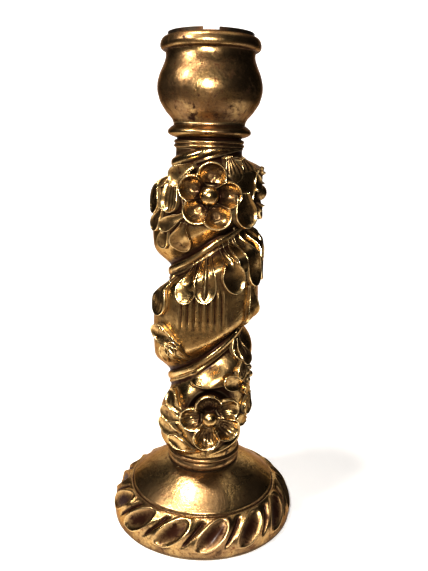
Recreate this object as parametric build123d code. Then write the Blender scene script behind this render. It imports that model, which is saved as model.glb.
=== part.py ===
from build123d import *
import os
from math import atan2, cos, degrees, exp, radians, sin, sqrt

# A carved and gilded twisted-column candlestick for one pillar candle.
# Millimetres, +Z up, origin on the table under the middle of the foot.
# The front faces -Y, and angles round the column are measured from the front towards +X.

os.makedirs("parts", exist_ok=True)

# Clearances
wood_fit = 0.15          # round tenons in their bores
seat_gap = 0.05          # carved leaves on the swell of the column
liner_gap = 0.4          # round the loose candle liner
rest_gap = 0.1           # under the rim of the loose candle liner
overshoot = 2.0          # how far a cutting tool runs past what it cuts

# Base plinth: plain foot band, ring of gadroons, and a low dome
foot_radius = 78.6
foot_edge_round = 1.2
foot_band_height = 6.5
ring_height = 28.6
ring_inner_radius = 63.4
ring_bulge = 5.2
dome_rim_radius = 61.2
dome_rim_height = 31.2
dome_groove_depth = 3.4
dome_bulge = 1.5
plinth_height = 49.4
dome_top_radius = 31.6
underside_recess_radius = 68.0
underside_recess_depth = 2.5

# Gadroons: leaning lobes parted by long hollows
gadroon_count = 14
gadroon_hollow_half_width = 5.4
gadroon_hollow_length = 52.0
gadroon_hollow_depth = 5.2
gadroon_lean = 34.0
gadroon_first_angle = 20.0

# Turned collar under the column
lower_collar_height = 12.6
lower_collar_radius = 31.4
lower_collar_band_radius = 30.6
lower_collar_band_share = 0.56

# Column: a round shaft carved into a right-handed screw
column_length = 254.0
swell_radius = 42.0
groove_radius = 29.6
groove_upper_half_width = 12.5   # above the vine that lies in the groove
groove_lower_half_width = 16.0   # below the vine
groove_steepness = 3.2
vine_foot_rise = 88.0         # from the column's foot to the vine's lower crossing of the front
vine_top_drop = 76.0          # from the column's top to the vine's upper crossing of the front
vine_top_rise = 8.0           # above the column's top, where the vine's line would cross the front again
section_points = 24
column_top_radius = 26.8
column_foot_radius = 30.0
shoulder_height = 14.0        # of the rounding at both ends of the swell
top_shoulder_drop = 17.0      # from the column's top to the swell's middle edge
top_shoulder_tilt = -6.5
shoulder_edge_slope = 0.4     # how fast the rounding turns inward at the swell, per unit of height
shoulder_end_slope = 0.6      # and at its narrow end
foot_shoulder_rise = 14.0
foot_shoulder_tilt = -9.0
column_tenon_radius = 14.0
column_tenon_length = 40.0
top_tenon_radius = 12.0
top_tenon_length = 34.0
tenon_end_gap = 1.0

# Turned collar between the column and the cup
neck_collar_height = 19.0
neck_ring_radius = 27.5
neck_ring_height = 6.0
neck_groove_radius = 26.6
neck_groove_height = 1.6
neck_torus_radius = 32.9
neck_torus_height = 9.9

# Turned cup
cup_height = 62.4
cup_foot_radius = 28.2
cup_foot_height = 1.6
cup_belly_radius = 40.7
cup_belly_height = 26.0
cup_neck_radius = 33.9
cup_neck_height = 48.4
cup_lip_radius = 39.0
cup_lip_start_height = 51.8
cup_lip_middle_height = 57.0
cup_lip_start_radius = 34.8
cup_rim_radius = 33.6
cup_lip_groove = 0.7

# Loose candle liner of thin sheet metal
candle_bore_radius = 25.5
liner_wall = 1.0
liner_depth = 36.0
liner_rim_radius = 32.8
liner_rim_height = 2.5
notch_width = 11.4
notch_depth = 2.0
notch_count = 2

# Screw that draws the column down into the plinth
screw_shank_radius = 2.75
screw_head_radius = 5.4
screw_head_height = 3.2
screw_head_round = 30.0       # degrees round its rounded underside, where the outline is set
screw_tip_length = 5.0
screw_grip = 26.0
screw_gap = 0.35
washer_radius = 10.0
washer_thickness = 1.6
counterbore_radius = 11.5
counterbore_depth = 9.0

# Five-petalled flowers
petal_count = 5
petal_radius = 9.2
petal_reach = 12.8            # from the middle of the flower to the middle of a petal
petal_rim_height = 4.6        # above the swell
petal_rim_width = 0.9
petal_hollow_depth = 2.8
petal_flare = 1.6
petal_root = 10.0             # how far a petal's block runs in behind the swell before it is cut
hub_radius = 7.0
hub_height = 3.2
bud_radius = 6.6
bud_height = 5.2
peg_radius = 1.6
peg_length = 10.0
peg_fit = 0.05

# Spoon leaves laid on the swell
leaf_thickness = 3.0
leaf_hollow_depth = 1.9
leaf_hollow_share = 0.74
leaf_widest_share = 0.3       # of a leaf's length, from its round end to its widest place
leaf_tip_share = 0.4          # of a leaf's half width, at its narrow end
leaf_tip_slope = 0.2          # how fast a leaf widens from its narrow end

# Fan of leaves that hangs from the vine, spaced along the screw
fan_first_turn = 305.0
fan_leaf_count = 7
fan_turn_step = 27.0
fan_leaf_length = 33.0
fan_leaf_half_width = 9.4
fan_leaf_gap = 10.0           # from the middle of the vine to a leaf's narrow end

# Heights of the stack, from the table up
lower_collar_top = plinth_height + lower_collar_height
column_top = lower_collar_top + column_length
neck_collar_top = column_top + neck_collar_height
cup_top = neck_collar_top + cup_height
liner_floor = cup_top - liner_depth
vine_front_height = column_top - vine_top_drop
screw_pitch = vine_front_height - lower_collar_top - vine_foot_rise
top_screw_pitch = vine_top_drop + vine_top_rise
relief_radius = swell_radius + seat_gap + leaf_thickness
front_turn = 360.0            # along the screw, where the groove crosses the front at vine_front_height
upper_front_turn = 720.0
lower_front_turn = 0.0

# Where each flower's middle lies: turn along the screw and drop below the vine
flower_places = {
    "upper_front": (upper_front_turn + 1, 41.5),
    "upper_right": (upper_front_turn + 78, 59.3),
    "upper_rear": (front_turn + 180, 45.5),
    "lower_rear": (lower_front_turn + 180, 45.0),
    "lower_front": (lower_front_turn + 7, 45.3),
}

# Single leaves: turn along the screw, drop of the middle below the vine, lean to the right in degrees,
# length and half width
leaf_places = {
    "crown_leaf_left": (upper_front_turn - 33, 17.0, 68, 20.0, 6.6),
    "crown_leaf_right": (upper_front_turn + 34, 27.5, -46, 20.0, 7.0),
    "side_leaf_upper": (upper_front_turn - 43, 33.5, 4, 19.0, 6.4),
    "side_leaf_outer": (upper_front_turn - 64, 33.0, 4, 28.0, 6.2),
    "side_leaf_lower": (upper_front_turn - 36, 53.0, 66, 24.0, 5.2),
    "vine_leaf_left": (front_turn - 34, -16.5, 118, 16.0, 4.4),
    "curled_leaf_left": (front_turn - 40, 61.0, 108, 32.0, 8.2),
    "tapered_leaf_right": (front_turn + 57, 62.0, -14, 34.0, 7.6),
    "vine_leaf_right": (lower_front_turn + 62, 17.0, 62, 18.0, 4.2),
    "curled_leaf_right": (lower_front_turn + 44, 28.0, 116, 26.0, 5.6),
    "shard_leaf_upper": (lower_front_turn + 63, 49.0, 24, 18.0, 5.2),
    "shard_leaf_lower": (lower_front_turn + 50, 64.0, 112, 16.0, 4.2),
    "foot_leaf_upper": (lower_front_turn - 37, 30.0, 62, 24.0, 6.0),
    "foot_leaf_middle": (lower_front_turn - 48, 44.5, 84, 24.0, 6.0),
    "foot_leaf_outer": (lower_front_turn - 61, 57.5, 92, 20.0, 5.4),
    "foot_leaf_lower": (lower_front_turn - 33, 60.5, 124, 20.0, 5.2),
    "rear_leaf_upper": (upper_front_turn - 132, 30.0, 20, 28.0, 7.4),
    "rear_leaf_middle": (front_turn - 130, 40.0, 16, 32.0, 8.2),
    "rear_leaf_lower": (lower_front_turn + 130, 42.0, 18, 30.0, 7.6),
}


def turned(points):
    """Solid of revolution about Z of the closed outline through (radius, height) points and edges."""
    outline = Curve() + points
    return revolve(Plane.XZ * make_face(outline), Axis.Z)


def ring_plane(angle, height, radius):
    """Plane that touches a cylinder round Z: X runs to the right, Y up and Z outward."""
    turn = radians(angle)
    outward = Vector(sin(turn), -cos(turn), 0)
    to_the_right = Vector(cos(turn), sin(turn), 0)
    return Plane(origin=outward * radius + Vector(0, 0, height), x_dir=to_the_right, z_dir=outward)


def ball_radius(half_width, height):
    """Radius of the ball whose cap has this half width and height."""
    return (half_width ** 2 + height ** 2) / (2 * height)


def spindle(length, half_width, depth):
    """Lemon-shaped tool along Y that sinks by depth into the plane Z = 0 and is half_width wide there."""
    radius = ball_radius(half_width, depth)
    half_length = length / 2
    lift = radius - depth
    tip_share = lift / radius
    long_half = half_length / sqrt(1 - tip_share ** 2)
    side = EllipticalCenterArc((0, 0), radius, long_half, start_angle=-90, arc_size=180)
    return Pos(0, 0, lift) * revolve(make_face(Curve() + [side, Line(side @ 1, side @ 0)]), Axis.Y)


def vine_height(turn):
    """Height of the middle of the vine at a turn in degrees along the screw."""
    pitch = top_screw_pitch if turn > front_turn else screw_pitch
    return vine_front_height + (turn - front_turn) / 360 * pitch


def base_plinth():
    rim = (dome_rim_radius, dome_rim_height)
    groove_floor = dome_rim_height - dome_groove_depth
    ring_top = (ring_inner_radius, ring_height)
    band_top = (foot_radius, foot_band_height)
    middle_radius = (foot_radius + ring_inner_radius) / 2
    middle_height = (foot_band_height + ring_height) / 2
    lean = 1 / sqrt(2)
    ring_middle = (middle_radius + ring_bulge * lean, middle_height + ring_bulge * lean)
    dome_middle = ((dome_rim_radius + dome_top_radius) / 2 + dome_bulge / 2,
                   (dome_rim_height + plinth_height) / 2 + dome_bulge)
    dome_top = (dome_top_radius, plinth_height)
    body = turned([
        Line((0, 0), (foot_radius - foot_edge_round, 0)),
        Line((foot_radius - foot_edge_round, 0), (foot_radius, foot_edge_round)),
        Line((foot_radius, foot_edge_round), band_top),
        ThreePointArc(band_top, ring_middle, ring_top),
        Line(ring_top, (ring_inner_radius, groove_floor)),
        Line((ring_inner_radius, groove_floor), (dome_rim_radius, groove_floor)),
        Line((dome_rim_radius, groove_floor), rim),
        ThreePointArc(rim, dome_middle, dome_top),
        Line(dome_top, (0, plinth_height)),
        Line((0, plinth_height), (0, 0)),
    ])
    body -= gadroon_tools(ring_middle)
    socket_depth = column_tenon_length - lower_collar_height + tenon_end_gap
    body -= Pos(0, 0, plinth_height) * hole(column_tenon_radius + wood_fit, socket_depth)
    body -= cup_cutter(underside_recess_radius, underside_recess_depth)
    body -= cup_cutter(counterbore_radius, underside_recess_depth + counterbore_depth)
    body -= cup_cutter(screw_shank_radius + screw_gap, plinth_height)
    return body


def hole(radius, depth):
    """Cylinder that hangs down from Z = 0 and runs a little above it."""
    return Cylinder(radius, depth + overshoot, align=(Align.CENTER, Align.CENTER, Align.MIN)).moved(
        Location((0, 0, -depth)))


def cup_cutter(radius, depth):
    """Cylinder that stands up into the underside by depth and runs a little below it."""
    return Pos(0, 0, -overshoot) * Cylinder(
        radius, depth + overshoot, align=(Align.CENTER, Align.CENTER, Align.MIN))


def gadroon_tools(surface_point):
    """Long hollows that lean to the right, spaced evenly round the ring."""
    radius, height = surface_point
    rise = ring_height - foot_band_height
    run = foot_radius - ring_inner_radius
    slope = degrees(atan2(rise, run))
    hollow = spindle(gadroon_hollow_length, gadroon_hollow_half_width, gadroon_hollow_depth)
    tools = []
    for number in range(gadroon_count):
        angle = gadroon_first_angle + number * 360 / gadroon_count
        seat = ring_plane(angle, height, radius)
        tools.append(seat * Rot(slope - 90, 0, 0) * Rot(0, 0, -gadroon_lean) * hollow)
    return tools


def lower_collar():
    band_height = lower_collar_height * lower_collar_band_share
    bore = column_tenon_radius + wood_fit
    bead_middle = (lower_collar_radius, (band_height + lower_collar_height) / 2)
    ring = turned([
        Line((bore, 0), (lower_collar_band_radius - foot_edge_round, 0)),
        ThreePointArc((lower_collar_band_radius - foot_edge_round, 0),
                      (lower_collar_band_radius, band_height / 2),
                      (lower_collar_band_radius - foot_edge_round, band_height)),
        ThreePointArc((lower_collar_band_radius - foot_edge_round, band_height),
                      bead_middle,
                      (lower_collar_band_radius - foot_edge_round, lower_collar_height)),
        Line((lower_collar_band_radius - foot_edge_round, lower_collar_height), (bore, lower_collar_height)),
        Line((bore, lower_collar_height), (bore, 0)),
    ])
    return Pos(0, 0, plinth_height) * ring


def screw_radius(drop):
    """Radius of the column at a drop below the middle of its groove, or above it where that is negative."""
    half_width = groove_lower_half_width if drop > 0 else groove_upper_half_width
    valley = exp(-(abs(drop) / half_width) ** groove_steepness)
    return swell_radius - (swell_radius - groove_radius) * valley


def screw_section(height, vine_angle):
    """Closed outline of the column at one height, with the vine at vine_angle."""
    points = []
    for number in range(section_points):
        offset = number * 360 / section_points
        nearest = offset if offset <= 180 else offset - 360
        radius = screw_radius(nearest / 360 * screw_pitch)
        turn = radians(vine_angle + offset)
        points.append((radius * sin(turn), -radius * cos(turn), height))
    return Wire([Edge.make_spline([Vector(*point) for point in points], periodic=True)])


def screw_length(start, end, start_angle, pitch):
    """Length of carved column between two heights, with the vine at start_angle at the start."""
    return Solid.extrude_linear_with_rotation(
        screw_section(start, start_angle), (0, 0, start), (0, 0, end - start), (end - start) / pitch * 360)


def shoulder_cutter(inner):
    """Ring round Z that leaves a rounded shoulder standing on Z = 0 and clears all outside it."""
    outer = relief_radius + shoulder_height
    start = (swell_radius + overshoot, 0)
    end = (inner, shoulder_height)
    return turned([
        Line((outer, 0), start),
        Spline([start, end], tangents=[(-shoulder_edge_slope, 1), (-shoulder_end_slope, 1)]),
        Line(end, (inner, column_length / 2)),
        Line((inner, column_length / 2), (outer, column_length / 2)),
        Line((outer, column_length / 2), (outer, 0)),
    ])


def upright(radius, start, end):
    """Cylinder round Z between two heights."""
    return Pos(0, 0, start) * Cylinder(radius, end - start, align=(Align.CENTER, Align.CENTER, Align.MIN))


def column():
    lower_angle = (lower_collar_top - vine_front_height) / screw_pitch * 360
    shaft = screw_length(lower_collar_top, vine_front_height, lower_angle, screw_pitch)
    shaft += screw_length(vine_front_height, column_top, 0, top_screw_pitch)
    shaft -= Pos(0, 0, column_top - top_shoulder_drop) * Rot(0, top_shoulder_tilt, 0) * shoulder_cutter(
        column_top_radius - overshoot)
    foot_seat = Pos(0, 0, lower_collar_top + foot_shoulder_rise)
    shaft -= foot_seat * Rot(0, foot_shoulder_tilt, 0) * Rot(180, 0, 0) * shoulder_cutter(
        column_foot_radius - overshoot)
    shaft += upright(column_top_radius, column_top - top_shoulder_drop, column_top)
    shaft += upright(column_foot_radius, lower_collar_top, lower_collar_top + foot_shoulder_rise)
    shaft += upright(column_tenon_radius, lower_collar_top - column_tenon_length, lower_collar_top + overshoot)
    shaft += upright(top_tenon_radius, column_top - overshoot, column_top + top_tenon_length)
    pilot_top = screw_seat() + screw_grip + screw_tip_length
    shaft -= upright(screw_shank_radius + seat_gap, -overshoot, pilot_top)
    for turn, drop in flower_places.values():
        shaft -= ring_plane(turn, vine_height(turn) - drop, swell_radius) * hole(
            peg_radius + peg_fit, peg_length)
    return shaft


def relief_piece(block):
    """Cuts the back of a carved piece to the round of the swell."""
    return block - upright(swell_radius + seat_gap, 0, cup_top)


def petal():
    """Dished petal that stands on Z = 0, with its hollow to the front."""
    foot = petal_radius - petal_flare
    rim = petal_radius - petal_rim_width
    below = -petal_root
    cone = turned([
        Line((0, below), (foot, below)),
        Line((foot, below), (foot, 0)),
        Line((foot, 0), (petal_radius, petal_rim_height)),
        Line((petal_radius, petal_rim_height), (0, petal_rim_height)),
        Line((0, petal_rim_height), (0, below)),
    ])
    hollow_ball = ball_radius(rim, petal_hollow_depth)
    return cone - Pos(0, 0, petal_rim_height + hollow_ball - petal_hollow_depth) * Sphere(hollow_ball)


def rosette(turn, drop):
    """Ring of dished petals round a flat hub, bored for the bud's peg."""
    height = vine_height(turn) - drop
    flower = ring_plane(turn, height, swell_radius) * Cylinder(
        hub_radius, 2 * hub_height, align=(Align.CENTER, Align.CENTER, Align.CENTER))
    for number in range(petal_count):
        direction = radians(90 + number * 360 / petal_count)
        petal_turn = turn + degrees(petal_reach * cos(direction) / swell_radius)
        petal_height = height + petal_reach * sin(direction)
        flower += ring_plane(petal_turn, petal_height, swell_radius) * petal()
    flower = relief_piece(flower)
    middle = ring_plane(turn, height, swell_radius + hub_height)
    room = upright(hub_radius, 0, petal_rim_height)
    bore = hole(peg_radius + peg_fit, peg_length)
    return flower - middle * room - middle * bore


def bud(turn, drop):
    """Turned bud with a peg that pins the flower to the column."""
    dome_radius = ball_radius(bud_radius, bud_height)
    dome = Pos(0, 0, seat_gap + bud_height - dome_radius) * Sphere(dome_radius)
    button = dome & upright(bud_radius, seat_gap, seat_gap + bud_height)
    button += upright(peg_radius, seat_gap - peg_length, seat_gap + bud_height / 2)
    return ring_plane(turn, vine_height(turn) - drop, swell_radius + hub_height) * button


def leaf(turn, drop, lean, length, half_width):
    """Spoon leaf on the swell, round end down when it doesn't lean, hollowed along its middle."""
    widest = (half_width, -length * (0.5 - leaf_widest_share))
    tip = (half_width * leaf_tip_share, length / 2)
    end = (0, -length / 2)
    right = [Spline([tip, widest, end], tangents=[(leaf_tip_slope, -1), (0, -1), (-1, 0)])]
    left = [edge.mirror(Plane.YZ) for edge in right]
    outline = make_face(Curve() + right + left + [Line(tip, (-tip[0], tip[1]))])
    seat = ring_plane(turn, vine_height(turn) - drop, 0) * Rot(0, 0, -lean)
    block = seat * extrude(outline, relief_radius + overshoot)
    block = relief_piece(block) & upright(relief_radius, 0, cup_top)
    hollow_seat = ring_plane(turn, vine_height(turn) - drop, relief_radius) * Rot(0, 0, -lean)
    middle = (leaf_hollow_share - 1) * length / 4
    hollow = spindle(length * leaf_hollow_share, half_width * leaf_hollow_share, leaf_hollow_depth)
    return block - hollow_seat * Pos(0, middle, 0) * hollow


def neck_collar():
    bore = top_tenon_radius + wood_fit
    torus_base = neck_ring_height + neck_groove_height
    torus_top = torus_base + neck_torus_height
    ring = turned([
        Line((bore, 0), (column_top_radius, 0)),
        ThreePointArc((column_top_radius, 0), (neck_ring_radius, neck_ring_height / 4),
                      (column_top_radius, neck_ring_height / 2)),
        ThreePointArc((column_top_radius, neck_ring_height / 2), (neck_ring_radius, neck_ring_height * 3 / 4),
                      (column_top_radius, neck_ring_height)),
        Line((column_top_radius, neck_ring_height), (neck_groove_radius, neck_ring_height)),
        Line((neck_groove_radius, neck_ring_height), (neck_groove_radius, torus_base)),
        ThreePointArc((neck_groove_radius, torus_base),
                      (neck_torus_radius, (torus_base + torus_top) / 2),
                      (cup_foot_radius, torus_top)),
        Line((cup_foot_radius, torus_top), (cup_foot_radius, neck_collar_height)),
        Line((cup_foot_radius, neck_collar_height), (bore, neck_collar_height)),
        Line((bore, neck_collar_height), (bore, 0)),
    ])
    return Pos(0, 0, column_top) * ring


def cup():
    foot_top = (cup_foot_radius, cup_foot_height)
    belly = (cup_belly_radius, cup_belly_height)
    neck = (cup_neck_radius, cup_neck_height)
    lip_start = (cup_lip_start_radius, cup_lip_start_height)
    lip_middle = (cup_lip_radius - cup_lip_groove, cup_lip_middle_height)
    rim = (cup_rim_radius, cup_height)
    lower_roll = (cup_lip_radius, (cup_lip_start_height + cup_lip_middle_height) / 2)
    upper_roll = ((cup_lip_radius + cup_rim_radius) / 2 + cup_lip_groove,
                  (cup_height + cup_lip_middle_height) / 2 + cup_lip_groove)
    body = turned([
        Line((0, 0), (cup_foot_radius, 0)),
        Line((cup_foot_radius, 0), foot_top),
        Spline([foot_top, belly, neck], tangents=[(1, 1), (0, 1), (0, 1)]),
        Spline([neck, lip_start], tangents=[(0, 1), (1, 1)]),
        ThreePointArc(lip_start, lower_roll, lip_middle),
        ThreePointArc(lip_middle, upper_roll, rim),
        Line(rim, (0, cup_height)),
        Line((0, cup_height), (0, 0)),
    ])
    socket_radius = candle_bore_radius + liner_wall + liner_gap
    body -= Pos(0, 0, cup_height) * hole(socket_radius, liner_depth + liner_wall + liner_gap)
    body -= cup_cutter(top_tenon_radius + wood_fit,
                       top_tenon_length - neck_collar_height + tenon_end_gap)
    return Pos(0, 0, neck_collar_top) * body


def candle_liner():
    outer = candle_bore_radius + liner_wall
    pan_bottom = cup_top + rest_gap
    pan_top = pan_bottom + liner_wall
    rim_top = cup_top + rest_gap + liner_rim_height
    floor = liner_floor - liner_wall
    body = turned([
        Line((0, floor), (outer, floor)),
        Line((outer, floor), (outer, pan_bottom)),
        Line((outer, pan_bottom), (liner_rim_radius, pan_bottom)),
        Line((liner_rim_radius, pan_bottom), (liner_rim_radius, rim_top)),
        Line((liner_rim_radius, rim_top), (liner_rim_radius - liner_wall, rim_top)),
        Line((liner_rim_radius - liner_wall, rim_top), (liner_rim_radius - liner_wall, pan_top)),
        Line((liner_rim_radius - liner_wall, pan_top), (candle_bore_radius, pan_top)),
        Line((candle_bore_radius, pan_top), (candle_bore_radius, liner_floor)),
        Line((candle_bore_radius, liner_floor), (0, liner_floor)),
        Line((0, liner_floor), (0, floor)),
    ])
    notch = Box(notch_width, liner_rim_radius, notch_depth + overshoot,
                align=(Align.CENTER, Align.MAX, Align.MIN))
    for number in range(notch_count):
        body -= Rot(0, 0, number * 360 / notch_count) * Pos(
            0, -candle_bore_radius - liner_wall, rim_top - notch_depth) * notch
    return body


def screw_seat():
    """Height of the face of the counterbore that the washer lies against."""
    return underside_recess_depth + counterbore_depth


def base_washer():
    washer = Cylinder(washer_radius, washer_thickness) - Cylinder(
        screw_shank_radius + screw_gap, washer_thickness + overshoot)
    return Pos(0, 0, screw_seat() - washer_thickness / 2) * washer


def base_screw():
    head_top = screw_seat() - washer_thickness
    head_bottom = head_top - screw_head_height
    shank_top = screw_seat() + screw_grip
    return turned([
        Line((0, head_bottom), (screw_head_radius / 2, head_bottom)),
        ThreePointArc((screw_head_radius / 2, head_bottom),
                      (screw_head_radius * cos(radians(screw_head_round)),
                       head_bottom + screw_head_height * (1 - sin(radians(2 * screw_head_round)))),
                      (screw_head_radius, head_top)),
        Line((screw_head_radius, head_top), (screw_shank_radius, head_top)),
        Line((screw_shank_radius, head_top), (screw_shank_radius, shank_top)),
        Line((screw_shank_radius, shank_top), (0, shank_top + screw_tip_length)),
        Line((0, shank_top + screw_tip_length), (0, head_bottom)),
    ])


parts = {
    "base_plinth": base_plinth(),
    "lower_collar": lower_collar(),
    "column": column(),
    "neck_collar": neck_collar(),
    "cup": cup(),
    "candle_liner": candle_liner(),
    "base_washer": base_washer(),
    "base_screw": base_screw(),
}
for place, (turn, drop) in flower_places.items():
    parts[f"flower_{place}"] = rosette(turn, drop)
    parts[f"bud_{place}"] = bud(turn, drop)
for number in range(fan_leaf_count):
    turn = fan_first_turn + number * fan_turn_step
    parts[f"fan_leaf_{number + 1}"] = leaf(
        turn, fan_leaf_gap + fan_leaf_length / 2, 0, fan_leaf_length, fan_leaf_half_width)
for name, place in leaf_places.items():
    parts[name] = leaf(*place)
for name, part in parts.items():
    export_step(part, f"parts/{name}.step")
    print(name, len(part.solids()), round(part.volume), part.is_valid)
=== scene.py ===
import math
import bpy
import numpy as np
from mathutils import Matrix, Vector, noise


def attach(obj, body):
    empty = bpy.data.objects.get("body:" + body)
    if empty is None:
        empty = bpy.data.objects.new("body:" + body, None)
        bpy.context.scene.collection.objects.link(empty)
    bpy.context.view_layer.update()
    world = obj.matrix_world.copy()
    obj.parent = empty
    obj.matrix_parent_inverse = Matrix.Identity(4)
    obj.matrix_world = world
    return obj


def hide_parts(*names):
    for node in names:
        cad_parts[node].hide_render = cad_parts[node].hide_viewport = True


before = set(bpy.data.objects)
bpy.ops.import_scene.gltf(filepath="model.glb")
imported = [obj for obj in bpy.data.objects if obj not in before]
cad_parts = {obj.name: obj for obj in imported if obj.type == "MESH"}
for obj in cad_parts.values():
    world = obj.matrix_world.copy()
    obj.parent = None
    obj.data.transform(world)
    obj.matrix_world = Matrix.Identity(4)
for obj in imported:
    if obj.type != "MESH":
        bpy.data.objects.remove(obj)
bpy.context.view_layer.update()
mm = 0.001

print("Stage 1: helpers")


def around(angle, radius, height):
    # angles in degrees from the front (-Y) towards +X, lengths in mm, result in metres
    turn = np.radians(angle)
    return np.stack([radius * np.sin(turn), -radius * np.cos(turn), height + 0 * turn], axis=-1) * mm


def smooth(low, high, value):
    share = np.clip((value - low) / (high - low), 0, 1)
    return share * share * (3 - 2 * share)


def bell(value, width):
    return np.exp(-(value / width) ** 2)


def makeMesh(name, points, faces, recess=None):
    mesh = bpy.data.meshes.new(name)
    mesh.from_pydata(points.tolist(), [], faces)
    mesh.update()
    mesh.polygons.foreach_set("use_smooth", np.ones(len(mesh.polygons), bool))
    # above zero the attribute darkens, as painted shade in hollows and under parts together with dark wax;
    # below zero it brightens, as a painted highlight on edges that hands have rubbed
    worn = mesh.attributes.new("recess", "FLOAT", "POINT")
    marks = np.zeros(len(points)) if recess is None else recess
    worn.data.foreach_set("value", marks.astype(np.float32))
    made = bpy.data.objects.new(name, mesh)
    bpy.context.scene.collection.objects.link(made)
    return made


def gridFaces(rows, columns, first=0):
    # quads of a grid whose rows close on themselves, and one face at each end
    faces = []
    for row in range(rows - 1):
        base = first + row * columns
        for column in range(columns):
            after = (column + 1) % columns
            faces.append((base + column, base + after, base + columns + after, base + columns + column))
    faces.append(tuple(first + column for column in reversed(range(columns))))
    faces.append(tuple(first + (rows - 1) * columns + column for column in range(columns)))
    return faces


def gridObject(name, grid, recess=None):
    rows, columns = grid.shape[:2]
    marks = None if recess is None else recess.reshape(-1)
    return makeMesh(name, grid.reshape(-1, 3), gridFaces(rows, columns), marks)


def finishPiece(piece, material, slotName, body, *nodes):
    piece.data.materials.clear()
    piece.data.materials.append(material)
    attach(piece, body)
    if nodes:
        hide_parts(*nodes)


print("Stage 2: materials")

gilding = {
    "leafColor": (0.57, 0.41, 0.20, 1),        # clean burnished leaf
    "tanColor": (0.34, 0.225, 0.12, 1),        # leaf dulled by handling
    "brushedColor": (0.42, 0.25, 0.09, 1),     # streaks of the burnisher
    "boleColor": (0.17, 0.055, 0.022, 1),      # red-brown clay under the leaf
    "crackColor": (0.12, 0.06, 0.025, 1),
    "patinaAndShadeColor": (0.040, 0.014, 0.007, 1),   # dark wax, and painted shade in the hollows and creases
    "rubbedHighlightColor": (0.90, 0.73, 0.43, 1),
    "glossTint": (0.50, 0.34, 0.24, 1),
    "broadScale": 38,                          # scales of the patterns, in features per metre
    "mottleScale": 120,
    "fineScale": 260,
    "crackScale": 330,
    "brushedScale": 420,
    "speckScale": 900,
    "brushedStretch": 0.16,                    # along the column
    "hollowReach": 0.016,                      # in metres
    "roughnessLow": 0.13,
    "roughnessHigh": 0.32,
    "waxRoughness": 0.22,
    "waxMetallic": 0.55,
    "coat": 0.12,
    "coatRoughness": 0.22,
    "unevenDepth": 0.0022,
    "grainDepth": 0.0004,
}
# wear: how much bole shows; crackle: depth of the fine cracks; tan: share of dulled leaf;
# mottled: how dark the patches of old wax are; dullness: added to the roughness
finishes = {
    "CarvedGold": dict(wear=0.27, crackle=0.25, tan=0.25, mottled=0.55, dullness=0.04),
    "TurnedGold": dict(wear=0.25, crackle=0.35, tan=0.85, mottled=0.6, dullness=0.12),
    "FootGold": dict(wear=0.26, crackle=0.35, tan=0.7, mottled=0.4, dullness=0.08),
}
darkMetals = {
    "BlackenedLiner": dict(color=(0.09, 0.07, 0.05, 1), roughLow=0.32, roughHigh=0.6),
    "PlainIron": dict(color=(0.3, 0.28, 0.26, 1), roughLow=0.3, roughHigh=0.5),
}
rustColor = (0.11, 0.055, 0.025, 1)


def newMaterial(name):
    material = bpy.data.materials.new(name)
    material.use_nodes = True
    nodes = material.node_tree.nodes
    nodes.clear()
    output = nodes.new("ShaderNodeOutputMaterial")
    shader = nodes.new("ShaderNodeBsdfPrincipled")
    material.node_tree.links.new(shader.outputs["BSDF"], output.inputs["Surface"])
    return material, material.node_tree, shader


def addNoise(tree, coordinates, scale, detail=4.0, roughness=0.55, distortion=0.0):
    node = tree.nodes.new("ShaderNodeTexNoise")
    node.inputs["Scale"].default_value = scale
    node.inputs["Detail"].default_value = detail
    node.inputs["Roughness"].default_value = roughness
    node.inputs["Distortion"].default_value = distortion
    tree.links.new(coordinates, node.inputs["Vector"])
    return node.outputs["Fac"]


def addRange(tree, value, low, high, outLow=0.0, outHigh=1.0):
    node = tree.nodes.new("ShaderNodeMapRange")
    node.interpolation_type = "SMOOTHSTEP"
    for socket, number in zip(("From Min", "From Max", "To Min", "To Max"), (low, high, outLow, outHigh)):
        node.inputs[socket].default_value = number
    tree.links.new(value, node.inputs["Value"])
    return node.outputs["Result"]


def addMath(tree, operation, first, second):
    node = tree.nodes.new("ShaderNodeMath")
    node.operation = operation
    node.use_clamp = operation in ("ADD", "MULTIPLY", "SUBTRACT")
    for socket, value in zip(node.inputs, (first, second)):
        if isinstance(value, (int, float)):
            socket.default_value = value
        else:
            tree.links.new(value, socket)
    return node.outputs[0]


def addMix(tree, factor, first, second):
    node = tree.nodes.new("ShaderNodeMix")
    node.data_type = "RGBA"
    colors = [socket for socket in node.inputs if socket.type == "RGBA"]
    for socket, value in zip(colors, (first, second)):
        if isinstance(value, tuple):
            socket.default_value = value
        else:
            tree.links.new(value, socket)
    tree.links.new(factor, node.inputs[0])
    return [socket for socket in node.outputs if socket.type == "RGBA"][0]


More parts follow.
